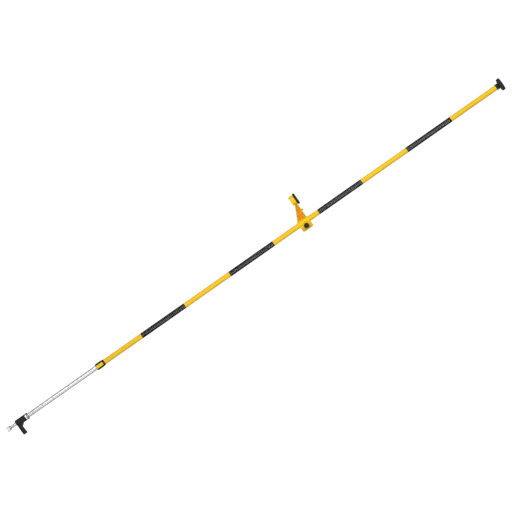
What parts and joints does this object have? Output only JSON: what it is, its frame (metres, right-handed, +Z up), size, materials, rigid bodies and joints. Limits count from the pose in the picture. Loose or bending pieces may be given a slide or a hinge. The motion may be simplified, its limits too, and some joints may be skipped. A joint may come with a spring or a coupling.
{
  "type": "leveling rod",
  "caption": "Telescoping yellow and black graduated levelling pole with a sprung foot, ceiling pad and a clamp-on bracket carrying a turning laser platform.",
  "frame": {"origin": "centre of the foot cap's underside, on the pole's axis", "axes": "+Z up the pole to the ceiling pad; the bracket's arm points to -X and the release lever to +X; the clamp knob and flip lever face -Y"},
  "size_m": [0.242, 0.074, 3.362],
  "materials": {
    "yellow_coat": "satin yellow powder coat on aluminium tube",
    "yellow_plastic": "moulded glass-filled yellow plastic, satin",
    "black_scale": "satin black with light grey printed centimetre scale",
    "black_plastic": "moulded black plastic, fine texture",
    "anodised_tube": "clear anodised, drawn",
    "steel": "turned, zinc plated",
    "spring_steel": "oiled spring wire",
    "dark_metal": "turned and darkened metal",
    "polished": "polished plating",
    "white_cap": "pale smooth plastic",
    "nylon": "natural nylon",
    "vial_acrylic": "clear round vial with green fluid in a dark ring",
    "pad_rubber": "matt black rubber"
  },
  "bodies": {
    "foot": {"foot_cap": "white_cap", "foot_flange": "dark_metal", "foot_rod": "steel", "rod_stop_ring": "steel"},
    "housing": {"foot_housing": "black_plastic", "release_pin": "steel", "release_spring": "spring_steel", "plate_spring": "spring_steel", "inner_tube": "anodised_tube", "rod_guide_bush": "nylon", "polished_ring": "polished", "lower_lock_ring": "dark_metal", "foot_spring": "spring_steel", "spring_seat": "nylon", "slide_bush": "nylon"},
    "release": {"release_lever": "black_plastic"},
    "grip_plate": {"lock_plate": "steel"},
    "mast": {"mast_lower": "yellow_coat", "mast_middle": "yellow_coat", "mast_upper": "yellow_coat", "mast_coupler_1": "anodised_tube", "mast_coupler_2": "anodised_tube", "scale_band_1": "black_scale", "scale_band_2": "black_scale", "scale_band_3": "black_scale", "scale_band_4": "black_scale", "lock_collar": "black_plastic", "collar_end_ring": "black_plastic", "collar_bush": "nylon", "flip_pin": "steel", "neck": "black_plastic", "grub_screw_1": "steel", "grub_screw_2": "steel", "grub_screw_3": "steel"},
    "flip": {"flip_lever": "yellow_plastic"},
    "brake": {"brake_shoe": "nylon"},
    "liner": {"clamp_liner": "yellow_plastic"},
    "bracket": {"bracket": "yellow_plastic", "vial": "vial_acrylic", "clamp_nut": "steel"},
    "knob": {"clamp_knob": "black_plastic", "clamp_stud": "steel"},
    "turntable": {"turntable": "black_plastic", "turntable_clip": "steel"},
    "screw": {"platform_screw": "steel"},
    "cup": {"ball_cup": "nylon"},
    "pad": {"pad_ball": "steel", "pad_plate": "black_plastic", "ceiling_pad": "pad_rubber"}
  },
  "joints": [
    {"name": "foot_spring_slide", "type": "slide", "parent": "foot", "child": "housing", "axis": [0, 0, 1], "range_m": [-0.03, 0], "stiffness_N_per_m": 2000, "springref_m": 0.03, "deforming": ["foot_spring"]},
    {"name": "telescope", "type": "slide", "parent": "housing", "child": "mast", "axis": [0, 0, 1], "range_m": [-0.42, 0.28]},
    {"name": "release_lever", "type": "hinge", "parent": "housing", "child": "release", "pos_m": [0.0214, 0, 0.091], "axis": [0, -1, 0], "range_deg": [0, 12], "stiffness_Nm_per_rad": 0.6, "springref_deg": -8.59},
    {"name": "lock_plate_tilt", "type": "hinge", "parent": "housing", "child": "grip_plate", "pos_m": [0, 0, 0.082], "axis": [0, 1, 0], "range_deg": [0, 8]},
    {"name": "flip_lock", "type": "hinge", "parent": "mast", "child": "flip", "pos_m": [0, -0.0176, 0.6465], "axis": [-1, 0, 0], "range_deg": [0, 85]},
    {"name": "brake_shoe_slide", "type": "slide", "parent": "mast", "child": "brake", "axis": [0, -1, 0], "range_m": [0, 0.0006]},
    {"name": "clamp_slide", "type": "slide", "parent": "mast", "child": "liner", "axis": [0, 0, 1], "range_m": [-1.3, 1.25]},
    {"name": "bracket_swing", "type": "hinge", "parent": "liner", "child": "bracket", "pos_m": [0, 0, 2.014], "axis": [0, 0, 1], "continuous": true},
    {"name": "clamp_knob_turn", "type": "hinge", "parent": "bracket", "child": "knob", "pos_m": [0.0234, 0, 2.0165], "axis": [0, -1, 0], "continuous": true},
    {"name": "turntable_turn", "type": "hinge", "parent": "bracket", "child": "turntable", "pos_m": [-0.1325, 0, 2.047], "axis": [0, 0, 1], "continuous": true},
    {"name": "platform_screw_lift", "type": "slide", "parent": "turntable", "child": "screw", "axis": [0, 0, 1], "range_m": [0, 0.006]},
    {"name": "pad_tilt_x", "type": "hinge", "parent": "mast", "child": "cup", "pos_m": [0, 0, 3.335], "axis": [1, 0, 0], "range_deg": [-6, 6]},
    {"name": "pad_tilt_y", "type": "hinge", "parent": "cup", "child": "pad", "pos_m": [0, 0, 3.335], "axis": [0, 1, 0], "range_deg": [-6, 6]}
  ],
  "couplings": [
    {"joint": "lock_plate_tilt", "follows": "release_lever", "ratio": 0.6666},
    {"joint": "brake_shoe_slide", "follows": "flip_lock", "m_per_rad": 0.0004}
  ]
}
